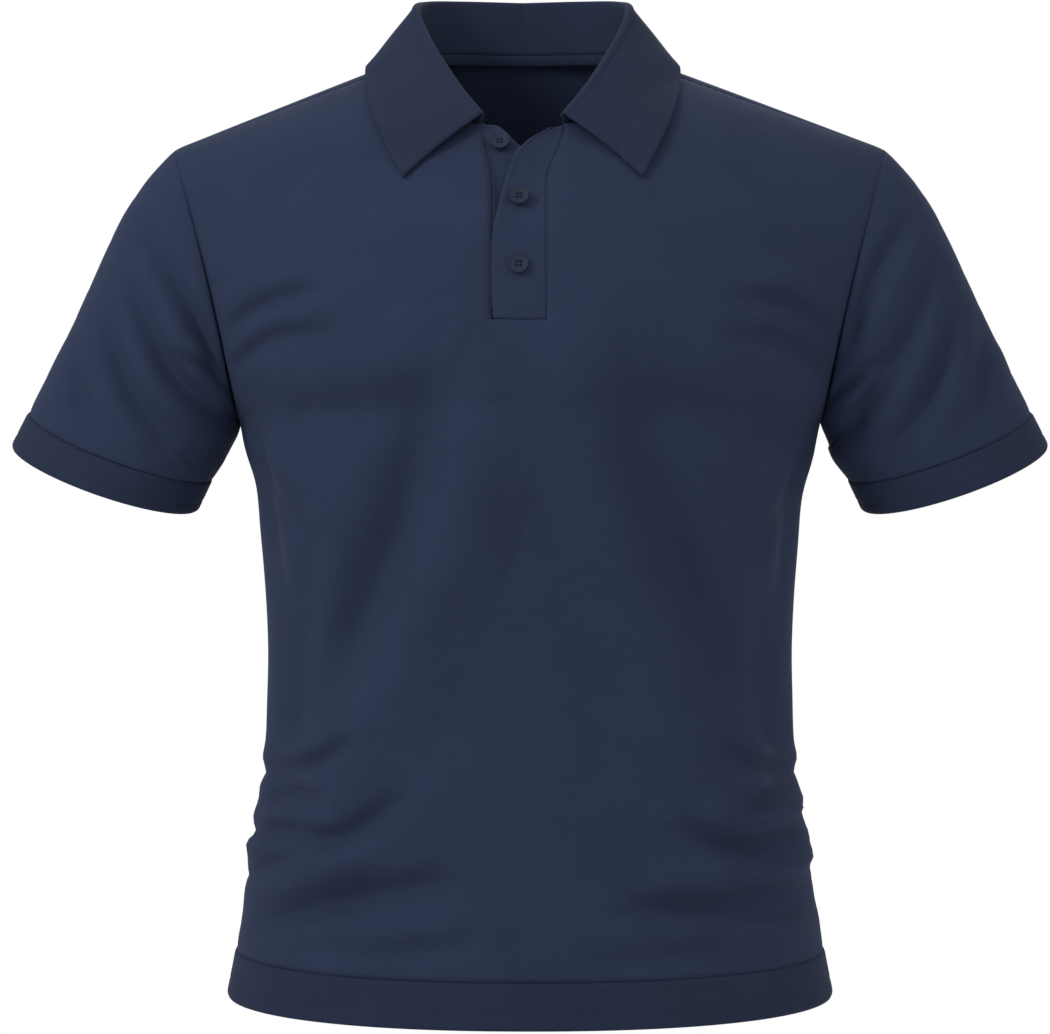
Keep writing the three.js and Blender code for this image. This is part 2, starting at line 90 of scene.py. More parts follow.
def group_with(name, inputs, outputs):
    """An empty node group with its sockets, and its input and output nodes."""
    group = bpy.data.node_groups.new(name, "ShaderNodeTree")
    for label, kind, value in inputs:
        socket = group.interface.new_socket(label, in_out="INPUT", socket_type=kind)
        if value is not None:
            socket.default_value = value
    for label, kind in outputs:
        group.interface.new_socket(label, in_out="OUTPUT", socket_type=kind)
    return group, group.nodes.new("NodeGroupInput"), group.nodes.new("NodeGroupOutput")


def maths(tree, kind, first, second):
    """The output of a Math node on two values or sockets."""
    node = tree.nodes.new("ShaderNodeMath")
    node.operation = kind
    for socket, value in zip(node.inputs, (first, second)):
        if isinstance(value, (int, float)):
            socket.default_value = value
        else:
            tree.links.new(value, socket)
    return node.outputs[0]


pique, gate, out = group_with(
    "pique_knit",
    [("Flat", "NodeSocketVector", None), ("Loops per metre", "NodeSocketFloat", 900.0)],
    [("Height", "NodeSocketFloat"), ("Tone", "NodeSocketFloat")],
)
scaled = pique.nodes.new("ShaderNodeVectorMath")
scaled.operation = "SCALE"
pique.links.new(gate.outputs["Flat"], scaled.inputs[0])
pique.links.new(gate.outputs["Loops per metre"], scaled.inputs["Scale"])
cells = pique.nodes.new("ShaderNodeTexVoronoi")
cells.inputs["Scale"].default_value = 1.0
cells.inputs["Randomness"].default_value = 0.35
pique.links.new(scaled.outputs[0], cells.inputs["Vector"])
yarn = pique.nodes.new("ShaderNodeTexNoise")
yarn.inputs["Scale"].default_value = 0.35
yarn.inputs["Detail"].default_value = 4.0
pique.links.new(scaled.outputs[0], yarn.inputs["Vector"])
broad = pique.nodes.new("ShaderNodeTexNoise")
broad.inputs["Scale"].default_value = 0.02
broad.inputs["Detail"].default_value = 3.0
pique.links.new(scaled.outputs[0], broad.inputs["Vector"])
fuzz = maths(pique, "MULTIPLY", yarn.outputs["Fac"], 0.5)
pique.links.new(maths(pique, "SUBTRACT", fuzz, cells.outputs["Distance"]), out.inputs["Height"])
mottle = maths(pique, "MULTIPLY", broad.outputs["Fac"], 0.6)
pique.links.new(
    maths(pique, "ADD", maths(pique, "MULTIPLY", yarn.outputs["Fac"], 0.4), mottle),
    out.inputs["Tone"],
)


def knit(name, dark, light, loops, relief):
    """A matt knit: two close tones mixed by the yarn, with the loops as relief."""
    material = bpy.data.materials.new(name)
    material.use_nodes = True
    tree = material.node_tree
    shader = tree.nodes["Principled BSDF"]
    shader.inputs["Roughness"].default_value = 0.88
    shader.inputs["Specular IOR Level"].default_value = 0.07
    shader.inputs["Sheen Weight"].default_value = 0.012
    shader.inputs["Sheen Roughness"].default_value = 0.45
    shader.inputs["Sheen Tint"].default_value = (0.45, 0.55, 0.85, 1)
    flat = tree.nodes.new("ShaderNodeUVMap")
    flat.uv_map = "flat"
    weave = tree.nodes.new("ShaderNodeGroup")
    weave.node_tree = pique
    weave.inputs["Loops per metre"].default_value = loops
    tree.links.new(flat.outputs["UV"], weave.inputs["Flat"])
    ramp = tree.nodes.new("ShaderNodeValToRGB")
    ramp.color_ramp.elements[0].position = 0.3
    ramp.color_ramp.elements[0].color = (*dark, 1)
    ramp.color_ramp.elements[1].position = 0.7
    ramp.color_ramp.elements[1].color = (*light, 1)
    tree.links.new(weave.outputs["Tone"], ramp.inputs["Fac"])
    tree.links.new(ramp.outputs["Color"], shader.inputs["Base Color"])
    bump = tree.nodes.new("ShaderNodeBump")
    bump.inputs["Strength"].default_value = relief
    bump.inputs["Distance"].default_value = 0.0004
    tree.links.new(weave.outputs["Height"], bump.inputs["Height"])
    tree.links.new(bump.outputs["Normal"], shader.inputs["Normal"])
    return material


NAVY_DARK, NAVY_LIGHT = (0.0142, 0.0203, 0.0425), (0.0174, 0.0249, 0.0520)
BAND_DARK, BAND_LIGHT = (0.0115, 0.0163, 0.0335), (0.0143, 0.0202, 0.0415)
body_knit = knit("navy_pique", NAVY_DARK, NAVY_LIGHT, 900.0, 0.35)
collar_knit = knit("navy_collar_pique", BAND_DARK, BAND_LIGHT, 900.0, 0.35)
band_knit = knit("navy_band_knit", BAND_DARK, BAND_LIGHT, 1100.0, 0.3)

# Front and back: two panels of fine pique cut to one outline each, sewn at the sides and
# at a shoulder seam that lies a little in front of the ridge. The front is slit for the
# placket. Their form is the shirt's worn form, in rows from the hem seam upwards.
MM = 0.001
CLOTH = 1.5 * MM  # thickness of the knit as it shows
UNDERARM_Z, HEM_SEAM_Z, HEM_Z = -241, -609, -640
SQUARENESS = 2.2
NECK = {"x": -5, "half": 80, "front": 80, "back": 70}
NECK_END = 20  # degrees from centre front where the neckline meets the placket
BACK_STRIP = 14  # half the flat strip down the middle of the back
PLACKET = {"x": -7.5, "half": 18, "bottom": -180, "flare": -88, "top": -44}
ARMHOLE = {"top_x": 248, "top_z": -52, "under_x": 203, "front": 63, "back": 66, "bow": 6}
BODY = [  # z, half width, front depth, back depth
    (-640, 211, 130, 122), (-609, 205, 128, 120), (-563, 197.5, 124, 114),
    (-520, 192.5, 120, 107), (-487, 187, 117, 101), (-440, 184, 114, 95),
    (-395, 183, 114, 93), (-339, 186.5, 118, 99), (-290, 193.5, 126, 110),
    (-241, 203, 134, 122),
]
FRONT_RISE = [(-241, -134), (-200, -137), (-160, -134), (-120, -123), (-80, -101), (-44, -76)]
BACK_RISE = [
    (-241, 122), (-200, 128), (-150, 131), (-100, 126), (-50, 111), (-10, 91), (24, 70),
]
NECKLINE = [(20, -44), (40, -30), (65, -7), (90, 12), (120, 19), (150, 23), (180, 24)]


def mix(a, b, t):
    return a + (b - a) * t


def ease(t):
    t = min(max(t, 0), 1)
    return t * t * (3 - 2 * t)


def read(table, at, column=1):
    """One column of a table at a value of its first, along a smooth curve."""
    last = len(table) - 1
    i = 0
    while i < last - 1 and at > table[i + 1][0]:
        i += 1

    def slope(k):
        a, b = table[max(k - 1, 0)], table[min(k + 1, last)]
        return (b[column] - a[column]) / (b[0] - a[0])

    a, b = table[i], table[i + 1]
    h = b[0] - a[0]
    t = min(max((at - a[0]) / h, 0), 1)
    curve = h * (t * (1 - t) ** 2 * slope(i) - t * t * (1 - t) * slope(i + 1))
    return mix(a[column], b[column], t * t * (3 - 2 * t)) + curve


def across(x, half):
    return max(1 - (abs(x) / half) ** SQUARENESS, 0) ** (1 / SQUARENESS)


FRONT_DIP = 6  # the front hem hangs lower than the side seams by this much
DIP_FROM, DIP_OVER = -420, 180  # where the dip starts, and the height over which it grows


def section(z, side, face, start_x, t):
    """A point of an oval section of the body, t = 0 at start_x and 1 at the side seam."""
    half = read(BODY, z, 1)
    start = math.asin((start_x / half) ** (SQUARENESS / 2))
    x = half * math.sin(mix(start, math.pi / 2, t)) ** (2 / SQUARENESS)
    depth = read(BODY, z, 2 if face == "front" else 3) * across(x, half)
    if face == "front":
        z -= FRONT_DIP * across(x, half) * ease((DIP_FROM - z) / DIP_OVER)
    return Vector((side * x, -depth if face == "front" else depth, z))


def neckline(angle, side):
    """A point of the neckline, its angle measured from centre front to centre back."""
    a = math.radians(angle)
    reach = NECK["front"] if angle < 90 else NECK["back"]
    x = NECK["x"] + side * NECK["half"] * math.sin(a)
    return Vector((x, -reach * math.cos(a), read(NECKLINE, angle)))


def armhole(angle, side, face):
    """A point of the armhole, its angle measured from the shoulder point down."""
    a = math.radians(angle)
    share = (1 + math.cos(a)) / 2
    x = mix(ARMHOLE["under_x"], ARMHOLE["top_x"], share) - ARMHOLE["bow"] * math.sin(a) ** 2
    y = math.sin(a) * (-ARMHOLE["front"] if face == "front" else ARMHOLE["back"])
    return Vector((side * x, y, mix(UNDERARM_Z, ARMHOLE["top_z"], share)))


SHOULDER_FORWARD = 8
SEAM_NECK = math.degrees(math.acos(SHOULDER_FORWARD / NECK["front"]))
SEAM_ARM = math.degrees(math.asin(SHOULDER_FORWARD / ARMHOLE["front"]))
BACK_END = 180 - math.degrees(math.asin(BACK_STRIP / NECK["half"]))


def slit(z, side):
    """The x of the slit's edge: straight, then flared towards the neckline."""
    end = side * NECK["half"] * math.sin(math.radians(NECK_END)) + NECK["x"]
    flare = ease((z - PLACKET["flare"]) / (PLACKET["top"] - PLACKET["flare"]))
    return mix(PLACKET["x"] + side * PLACKET["half"], end, flare)


def chest(x, z):
    """The y of the chest at a place seen from the front."""
    return read(FRONT_RISE, z) * across(x, ARMHOLE["under_x"])


HALF_COLUMNS, LOWER_ROWS, MIDDLE_COLUMNS = 48, 84, 8
CHEST_ROWS, SLIT_ROWS, BACK_ROWS, NECK_ROWS = 18, 36, 54, 30


def half_panel(face, side):
    """Rows of points of half a panel, from the hem seam up to the shoulder seam."""
    front = face == "front"
    start_x = abs(slit(UNDERARM_Z, side)) if front else BACK_STRIP
    rows = []
    for i in range(LOWER_ROWS + 1):
        z = mix(HEM_SEAM_Z, UNDERARM_Z, i / LOWER_ROWS)
        rows.append([
            section(z, side, face, start_x, j / HALF_COLUMNS) for j in range(HALF_COLUMNS + 1)
        ])
    rise = CHEST_ROWS + SLIT_ROWS if front else BACK_ROWS
    count = rise + NECK_ROWS

    def inner(i):
        """The middle of a row: the slit or the middle strip, and above it the neckline."""
        if i > rise:
            start = NECK_END if front else BACK_END
            return neckline(mix(start, SEAM_NECK, (i - rise) / NECK_ROWS), side)
        if front:
            if i <= CHEST_ROWS:
                z = mix(UNDERARM_Z, PLACKET["bottom"], i / CHEST_ROWS)
            else:
                z = mix(PLACKET["bottom"], PLACKET["top"], (i - CHEST_ROWS) / SLIT_ROWS)
            x = slit(z, side)
            return Vector((x, chest(x, z), z))
        z = mix(UNDERARM_Z, BACK_RISE[-1][0], i / rise)
        depth = read(BACK_RISE, z) * across(BACK_STRIP, ARMHOLE["under_x"])
        return Vector((NECK["x"] * ease(i / rise) + side * BACK_STRIP, depth, z))

    base = rows[-1]
    for i in range(1, count + 1):
        v = i / count
        angle = mix(180, SEAM_ARM if front else -SEAM_ARM, v)
        outer = armhole(abs(angle), side, "front" if angle < 0 else face)
        line = []
        for j in range(HALF_COLUMNS + 1):
            u = j / HALF_COLUMNS
            point = inner(i).lerp(outer, u)
            line.append(point + (base[j] - base[0].lerp(base[-1], u)) * (1 - v))
        rows.append(line)
    return rows


def whole_panel(face):
    """Both halves side by side, from the right side seam to the left one."""
    rows = []
    for right, left in zip(half_panel(face, -1), half_panel(face, 1)):
        middle = [
            right[0].lerp(left[0], k / MIDDLE_COLUMNS) for k in range(1, MIDDLE_COLUMNS)
        ]
        rows.append(right[::-1] + middle + left)
    return rows


def outward(rows, ring=False, flip=False):
    """The outward normal at each point of a grid."""
    high, wide = len(rows), len(rows[0])
    normals = []
    for i in range(high):
        line = []
        for j in range(wide):
            up = rows[min(i + 1, high - 1)][j] - rows[max(i - 1, 0)][j]
            if ring:
                along = rows[i][(j + 1) % wide] - rows[i][j - 1]
            else:
                along = rows[i][min(j + 1, wide - 1)] - rows[i][max(j - 1, 0)]
            normal = along.cross(up)
            line.append((-normal if flip else normal).normalized())
        normals.append(line)
    return normals


# A fold's cross-section in shares of its width: a trough with a ridge along one side.
FOLD_MARGIN, TROUGH_WIDTH = 3.2, 0.8
RIDGE_HEIGHT, RIDGE_AT, RIDGE_WIDTH = 0.6, 1.7, 1.1
FOLD_ENDS = (0.08, 0.92)  # shares of a half wave, by which a fold fades at its two ends


def fold_shift(x, z, folds):
    """How far the folds move the cloth out at a place seen from the front, in mm."""
    total = 0.0
    for fold in folds:
        route, width, depth = fold["route"], fold["width"], fold["depth"]
        margin = FOLD_MARGIN * width
        if not (fold["low"][0] - margin < x < fold["high"][0] + margin):
            continue
        if not (fold["low"][1] - margin < z < fold["high"][1] + margin):
            continue
        best, place, side = 1e9, 0.0, 1.0
        for k in range(len(route) - 1):
            (ax, az), (bx, bz) = route[k], route[k + 1]
            dx, dz = bx - ax, bz - az
            t = min(max(((x - ax) * dx + (z - az) * dz) / (dx * dx + dz * dz), 0), 1)
            away = math.hypot(x - ax - dx * t, z - az - dz * t)
            if away < best:
                best, place = away, (k + t) / (len(route) - 1)
                side = 1.0 if dx * (z - az) - dz * (x - ax) > 0 else -1.0
        if best > margin:
            continue
        taper = math.sin(math.pi * mix(*FOLD_ENDS, place)) ** 0.8
        across_fold = best * side * fold["lean"] / width
        trough = math.exp(-((across_fold / TROUGH_WIDTH) ** 2))
        ridge = RIDGE_HEIGHT * math.exp(-(((across_fold - RIDGE_AT) / RIDGE_WIDTH) ** 2))
        total += taper * depth * (ridge - trough)
    return total


def folds_from(table, strength=1.0):
    """Folds from rows of width, depth, lean and two to four points, each smoothed."""
    folds = []
    for width, depth, lean, *points in table:
        route = []
        for k in range(len(points) - 1):
            before = points[max(k - 1, 0)]
            after = points[min(k + 2, len(points) - 1)]
            for step in range(6):
                t = step / 6
                spline = []
                for axis in (0, 1):
                    p0, p1 = before[axis], points[k][axis]
                    p2, p3 = points[k + 1][axis], after[axis]
                    spline.append(0.5 * (
                        2 * p1 + (p2 - p0) * t + (2 * p0 - 5 * p1 + 4 * p2 - p3) * t * t
                        + (3 * p1 - p0 - 3 * p2 + p3) * t ** 3
                    ))
                route.append(tuple(spline))
        route.append(points[-1])
        xs, zs = [p[0] for p in route], [p[1] for p in route]
        folds.append({
            "route": route, "width": width, "depth": depth * strength, "lean": lean,
            "low": (min(xs), min(zs)), "high": (max(xs), max(zs)),
        })
    return folds


# width, depth, side of the ridge, then the points (x, z) that the fold runs through
FRONT_FOLDS = [
    (20, 2.6, 1, (-196, -236), (-132, -243), (-62, -236)),
    (20, 2.6, -1, (196, -246), (125, -243), (58, -236)),
    (8, 2.2, 1, (-208, -188), (-175, -166), (-142, -160)),
    (8, 2.4, 1, (-204, -211), (-172, -190), (-132, -187)),
    (8, 2.2, -1, (212, -190), (176, -167), (146, -163)),
    (8, 2.2, -1, (206, -214), (173, -193), (136, -189)),
    (10, 2.8, 1, (-193, -247), (-179, -280), (-150, -328)),
    (9, 2.4, 1, (-191, -252), (-183, -300), (-168, -366)),
    (10, 2.8, -1, (193, -252), (180, -285), (154, -330)),
    (9, 2.2, -1, (190, -262), (181, -306), (170, -372)),
    (24, 6.4, 1, (-66, -236), (-86, -311), (-125, -397), (-168, -485)),
    (13, 3.0, 1, (-150, -337), (-161, -417), (-176, -476)),
    (24, 6.4, -1, (70, -236), (92, -311), (132, -397), (174, -485)),
    (13, 3.0, -1, (154, -337), (164, -417), (178, -478)),
    (7, 3.4, 1, (-183, -480), (-152, -476), (-116, -458)),
    (7, 3.4, -1, (184, -482), (158, -477), (122, -460)),
    (7, 3.0, 1, (-186, -508), (-162, -495), (-140, -500)),
    (9, 4.2, -1, (-184, -519), (-132, -524), (-90, -498)),
    (7, 3.0, 1, (-188, -551), (-162, -540), (-138, -544)),
    (11, 4.0, 1, (-192, -588), (-119, -561), (-56, -551)),
    (9, 2.6, 1, (-152, -600), (-92, -599), (-38, -590)),
    (8, 3.4, -1, (187, -498), (165, -497), (140, -507)),
    (9, 4.4, -1, (190, -520), (145, -530), (104, -517)),
    (7, 2.6, 1, (190, -537), (162, -540), (132, -546)),
    (10, 4.0, -1, (194, -558), (125, -566), (70, -567)),
    (8, 2.6, 1, (196, -574), (158, -576), (120, -580)),
    (10, 2.8, -1, (160, -594), (99, -601), (44, -603)),
]
BACK_FOLDS = [
    (16, 3.2, 1, (-200, -222), (-150, -262), (-96, -286)),
    (16, 3.4, -1, (200, -226), (146, -268), (84, -288)),
    (11, 3.0, 1, (-194, -262), (-158, -312), (-120, -368)),
    (12, 3.0, -1, (192, -268), (160, -322), (118, -384)),
    (24, 4.4, 1, (-70, -280), (-96, -360), (-150, -462)),
    (24, 4.2, -1, (76, -292), (104, -372), (154, -470)),
    (10, 4.4, 1, (-182, -470), (-110, -446), (-36, -452)),
    (9, 3.8, -1, (182, -488), (116, -470), (50, -480)),
    (9, 3.4, 1, (-186, -506), (-120, -520), (-66, -508)),
    (10, 3.6, -1, (188, -536), (122, -548), (60, -540)),
    (9, 3.0, 1, (-190, -562), (-126, -574), (-58, -566)),
    (9, 2.6, -1, (192, -580), (130, -592), (70, -590)),
    (12, 2.2, 1, (-216, -132), (-160, -152), (-110, -148)),
    (12, 2.2, -1, (216, -140), (164, -158), (116, -152)),
]
# Short tucks that run across the side seams, shared by the front and the back.
SIDE_FOLDS = [
    (6, 2.6, 1, (-206, -487), (-178, -486), (-150, -480)),
    (6, 2.8, 1, (-208, -527), (-184, -526), (-158, -520)),
    (5, 1.3, 1, (-208, -556), (-188, -556), (-160, -552)),
    (6, 2.2, -1, (204, -484), (178, -486), (150, -481)),
    (6, 1.9, -1, (208, -512), (186, -513), (160, -508)),
    (5, 1.6, -1, (210, -548), (188, -550), (160, -545)),
    (12, 2.4, 1, (-214, -264), (-192, -290), (-170, -330)),
    (12, 2.4, -1, (214, -268), (192, -296), (170, -336)),
]
SEAM_ROLL = 0.8  # how far an edge turns in at its seam
SEAM_REACH = 3  # columns or rows over which it does
FOLD_FADE = 9  # columns or rows over which a fold grows in from an edge


def creased(rows, folds, ring=False, flip=False, edges=(), shared=()):
    """Moves each point out or in by the folds, and turns the named edges in. The folds
    fade towards the edges, apart from the shared ones."""
    normals = outward(rows, ring, flip)
    high, wide = len(rows), len(rows[0])
    moved = []
    for i, line in enumerate(rows):
        new = []
        for j, point in enumerate(line):
            from_edge = {
                "low": i, "high": high - 1 - i, "start": j, "end": wide - 1 - j,
            }
            near = min([from_edge[e] for e in edges] or [99])
            shift = fold_shift(point.x, point.z, folds) * ease((near + 1) / FOLD_FADE)
            shift += fold_shift(point.x, point.z, shared)
            shift -= SEAM_ROLL * max(0, 1 - near / SEAM_REACH) ** 2
            new.append(point + normals[i][j] * shift)
        moved.append(new)
    return moved


def cloth_piece(name, rows, ring=False, flip=False, absent=None, thick=CLOTH, look=None):
    """A thin shell on a grid of outer points in mm, with its flat coordinates as a UV."""
    high, wide = len(rows), len(rows[0])
    mesh = bpy.data.meshes.new(name)
    points = [p * MM for line in rows for p in line]
    faces, flats = [], []
    middle = wide // 2
    up = [0.0]
    for i in range(1, high):
        up.append(up[-1] + (rows[i][middle] - rows[i - 1][middle]).length * MM)
    over = []
    for line in rows:
        length = [0.0]
        for j in range(1, wide + (1 if ring else 0)):
            length.append(length[-1] + (line[j % wide] - line[j - 1]).length * MM)
        over.append([value - length[middle] for value in length])
    for i in range(high - 1):
        for j in range(wide if ring else wide - 1):
            if absent and absent(i, j):
                continue
            k = (j + 1) % wide
            corners = [(i, j, j), (i, k, j + 1), (i + 1, k, j + 1), (i + 1, j, j)]
            if flip:
                corners.reverse()
            faces.append([a * wide + b for a, b, _ in corners])
            flats.extend((over[a][c], up[a]) for a, _, c in corners)
    mesh.from_pydata(points, [], faces)
    layer = mesh.uv_layers.new(name="flat")
    for slot, flat in zip(layer.data, flats):
        slot.uv = flat
    piece = bpy.data.objects.new(name, mesh)
    bpy.context.collection.objects.link(piece)
    bm = bmesh.new()
    bm.from_mesh(mesh)
    bmesh.ops.delete(bm, geom=[v for v in bm.verts if not v.link_faces], context="VERTS")
    bm.to_mesh(mesh)
    bm.free()
    mesh.shade_smooth()
    mesh.materials.append(look or body_knit)
    wall = piece.modifiers.new("wall", "SOLIDIFY")
    wall.thickness = thick
    wall.offset = -1
    bpy.ops.object.select_all(action="DESELECT")
    bpy.context.view_layer.objects.active = piece
    piece.select_set(True)
    bpy.ops.object.modifier_apply(modifier="wall")
    return piece


def in_middle(j):
    return HALF_COLUMNS <= j < HALF_COLUMNS + MIDDLE_COLUMNS


FOLD_STRENGTH = 2.3
side_folds = folds_from(SIDE_FOLDS)
front_rows = creased(
    whole_panel("front"), folds_from(FRONT_FOLDS, strength=FOLD_STRENGTH),
    edges=("low", "high", "start", "end"), shared=side_folds,
)
front = cloth_piece(
    "front_panel", front_rows,
    absent=lambda i, j: i >= LOWER_ROWS + CHEST_ROWS and in_middle(j),
)
back_rows = creased(
    whole_panel("back"), folds_from(BACK_FOLDS, strength=FOLD_STRENGTH), flip=True,
    edges=("low", "high", "start", "end"), shared=side_folds,
)
back = cloth_piece(
    "back_panel", back_rows, flip=True,
    absent=lambda i, j: i >= LOWER_ROWS + BACK_ROWS and in_middle(j),
)
for piece, node, flat, area in [
    (front, "front", (0.55, 0.70), 0.315),
    (back, "back", (0.55, 0.73), 0.330),
]:
    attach(piece, "root")
    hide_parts(node)

# Sleeves: short, set in, one pattern and its mirror, sewn into a tube under the arm.
# Rings run from the armhole to the cuff seam, with soft drag folds from the underarm.
RING = 96
SLEEVE_ROWS = 60
CUFF_TILT = 12  # the front of the cuff hangs lower than its centre by this much
SLEEVE_FOLD_STRENGTH = 2.0
SLEEVE = [  # at, top x, top z, under x, under z, front depth, back depth
    (0, 248, -52, 203, -241, 63, 66), (0.18, 270, -77, 205.5, -249, 64, 66),
    (0.4, 291, -112, 209, -258, 62, 63), (0.7, 319, -173, 214, -270, 59, 60),
    (1, 350.5, -235.5, 222.6, -283, 57, 57),
]
SLEEVE_FOLDS = {
    -1: [
        (9, 3.4, -1, (-262, -112), (-241, -148), (-221, -184), (-208, -212)),
        (9, 3.8, -1, (-272, -150), (-252, -195), (-236, -218), (-213, -236)),
        (9, 3.2, -1, (-287, -172), (-275, -216), (-247, -256)),
        (8, 2.0, -1, (-312, -208), (-299, -250)),
        (5, 2.6, 1, (-236, -200), (-209, -212)),
    ],
    1: [
        (9, 3.6, 1, (257, -108), (231, -148), (214, -192)),
        (9, 3.8, 1, (272, -142), (255, -189), (231, -229), (217, -250)),
        (9, 3.2, 1, (287, -166), (275, -216), (247, -268)),
        (8, 2.0, 1, (311, -186), (307, -246)),
        (6, 2.6, -1, (205, -224), (240, -202)),
    ],
}


def ring_of(top, under, reach, side, bow, tilt):
    """A ring round the arm, between its top and under points, from the top forwards."""
    line = []
    for j in range(RING):
        a = 2 * math.pi * j / RING
        share = (1 + math.cos(a)) / 2
        depth = reach[0] if math.sin(a) > 0 else reach[1]
        x = mix(under[0], top[0], share) - bow * math.sin(a) ** 2
        z = mix(under[1], top[1], share) - tilt * math.sin(a)
        line.append(Vector((side * x, -depth * math.sin(a), z)))
    return line


SLEEVE_END = ((350.5, -235.5), (222.6, -283))  # top point, under point
CUFF_END = ((362, -258), (232.8, -304.5))
CUFF_REACH = 57.2
for hand, side in (("left", 1), ("right", -1)):
    rows = []
    for i in range(SLEEVE_ROWS + 1):
        at = i / SLEEVE_ROWS
        value = [read(SLEEVE, at, k) for k in range(7)]
        bow = ARMHOLE["bow"] * (1 - at)
        rows.append(ring_of(value[1:3], value[3:5], value[5:7], side, bow, CUFF_TILT * ease(at)))
    drag = folds_from(SLEEVE_FOLDS[side], strength=SLEEVE_FOLD_STRENGTH)
    rows = creased(rows, drag, ring=True, flip=side < 0, edges=("low", "high"))
    sleeve = cloth_piece(f"sleeve_{hand}_tube", rows, ring=True, flip=side < 0)
    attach(sleeve, "root")
    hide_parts(f"sleeve_{hand}")

# Bands: doubled strips of a flatter knit, sewn to the sleeve ends and round the hem, with
# a round fold at the free edge and one line of topstitching two thirds of the way down.
BAND = 2.4 * MM
BAND_ROWS = 28
STITCH_AT = 0.34  # share of the band's height above its free edge
SWELL = 0.5  # how far a band stands out from the cloth above it
EDGE_ROLL, STITCH_DEPTH = 1.3, 0.55
EDGE_SHARE, STITCH_SHARE = 0.1, 0.035  # of the height, that each edge and the stitches take
TUCK_STARTS, TUCK_ENDS = 1.04, 1.12  # shares of its height where it runs under the seam
TUCK_DEPTH = 3.2


def band_profile(at):
    """How far a band stands out, 0 at its free edge and 1 at its seam."""
    free_edge = EDGE_ROLL * max(0, 1 - at / EDGE_SHARE) ** 2
    seam = SEAM_ROLL * max(0, 1 + (at - 1) / EDGE_SHARE) ** 2
    stitch = STITCH_DEPTH * math.exp(-(((at - STITCH_AT) / STITCH_SHARE) ** 2))
    return SWELL - free_edge - seam - stitch - (TUCK_DEPTH if at >= TUCK_STARTS else 0)


def band_rows(line_at, ring, flip):
    """A band's rows, from its free edge up to where it ends behind the seam."""
    shares = [i / BAND_ROWS for i in range(BAND_ROWS + 1)] + [TUCK_STARTS, TUCK_ENDS]
    rows = [line_at(at) for at in shares]
    normals = outward(rows, ring, flip)
    return [
        [p + n * band_profile(at) for p, n in zip(line, normals[i])]
        for i, (at, line) in enumerate(zip(shares, rows))
    ]


for hand, side in (("left", 1), ("right", -1)):
    def cuff_line(at, side=side):
        top = [mix(CUFF_END[0][k], SLEEVE_END[0][k], at) for k in (0, 1)]
        under = [mix(CUFF_END[1][k], SLEEVE_END[1][k], at) for k in (0, 1)]
        return ring_of(top, under, (CUFF_REACH, CUFF_REACH), side, 0, CUFF_TILT)

    rows = band_rows(cuff_line, True, side > 0)
    cuff = cloth_piece(
        f"cuff_{hand}_band", rows, ring=True, flip=side > 0, thick=BAND, look=band_knit
    )
    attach(cuff, "root")
    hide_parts(f"cuff_{hand}")

HEM_COLUMNS = 56
for face, width in (("front", 0.53), ("back", 0.52)):
    def hem_line(at, face=face):
        z = mix(HEM_Z, HEM_SEAM_Z, at)
        right = [section(z, -1, face, 0, j / HEM_COLUMNS) for j in range(HEM_COLUMNS, 0, -1)]
        left = [section(z, 1, face, 0, j / HEM_COLUMNS) for j in range(HEM_COLUMNS + 1)]
        return right + left

    rows = band_rows(hem_line, False, face == "back")
    hem = cloth_piece(f"hem_{face}_band", rows, flip=face == "back", thick=BAND, look=band_knit)
    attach(hem, "root")
    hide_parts(f"hem_band_{face}")

# Collar: one piece of pique folded over at its roll line. The inner fall stands on the
# neck seam, and the leaf lies out over the shoulders to two points in front.
ROLL = 3.2  # radius of the fold
LEAF_LIFT = 2.4  # space between the leaf and the body
LEAF_ARCH = 2.2  # how much more the leaf stands off near its left point
ARCH_SHARE = 1 / 9  # of the collar's length, over which that arch rises and falls
LEAF_BULGE = 3  # the leaf's outward curve between its fold and its edge
STAND_GAP, STAND_RISE = 0.3, 0.6  # of the stand's foot, in from and up from the neckline
SHOULDER_ANGLE = 84  # the leaf lies on the front below this angle, on the back above it
COLLAR_COLUMNS = 180
COLLAR = [  # angle from centre front, roll x y z, leaf edge x y z
    (20, 28, -81, -40, 80, -92, -82), (36, 43, -64, -20, 96, -62, -50),
    (55, 58, -40, 5, 107, -32, -19), (72, 69, -17, 27, 110, -6, 5),
    (90, 75, 5, 46, 106, 20, 9), (115, 68, 36, 55, 86, 54, 10),
    (145, 43, 63, 60, 53, 81, 14), (180, 0, 75, 61, 0, 90, 16),
]


FAR = 400  # a ray towards the shirt starts this far out


def skin(rows, absent):
    """A surface to lay other pieces on, from a grid of points in mm."""
    wide = len(rows[0])
    faces = [
        (i * wide + j, i * wide + j + 1, (i + 1) * wide + j + 1, (i + 1) * wide + j)
        for i in range(len(rows) - 1) for j in range(wide - 1) if not absent(i, j)
    ]
    return BVHTree.FromPolygons([p for line in rows for p in line], faces)


front_skin = skin(front_rows, lambda i, j: i < LOWER_ROWS // 2)
back_skin = skin(back_rows, lambda i, j: i < LOWER_ROWS // 2)


def collar_lines(angle, side):
    value = [read(COLLAR, angle, k) for k in range(7)]
    roll = Vector((NECK["x"] + side * value[1], value[2], value[3]))
    edge = Vector((NECK["x"] + side * value[4], value[5], value[6]))
    return roll, edge


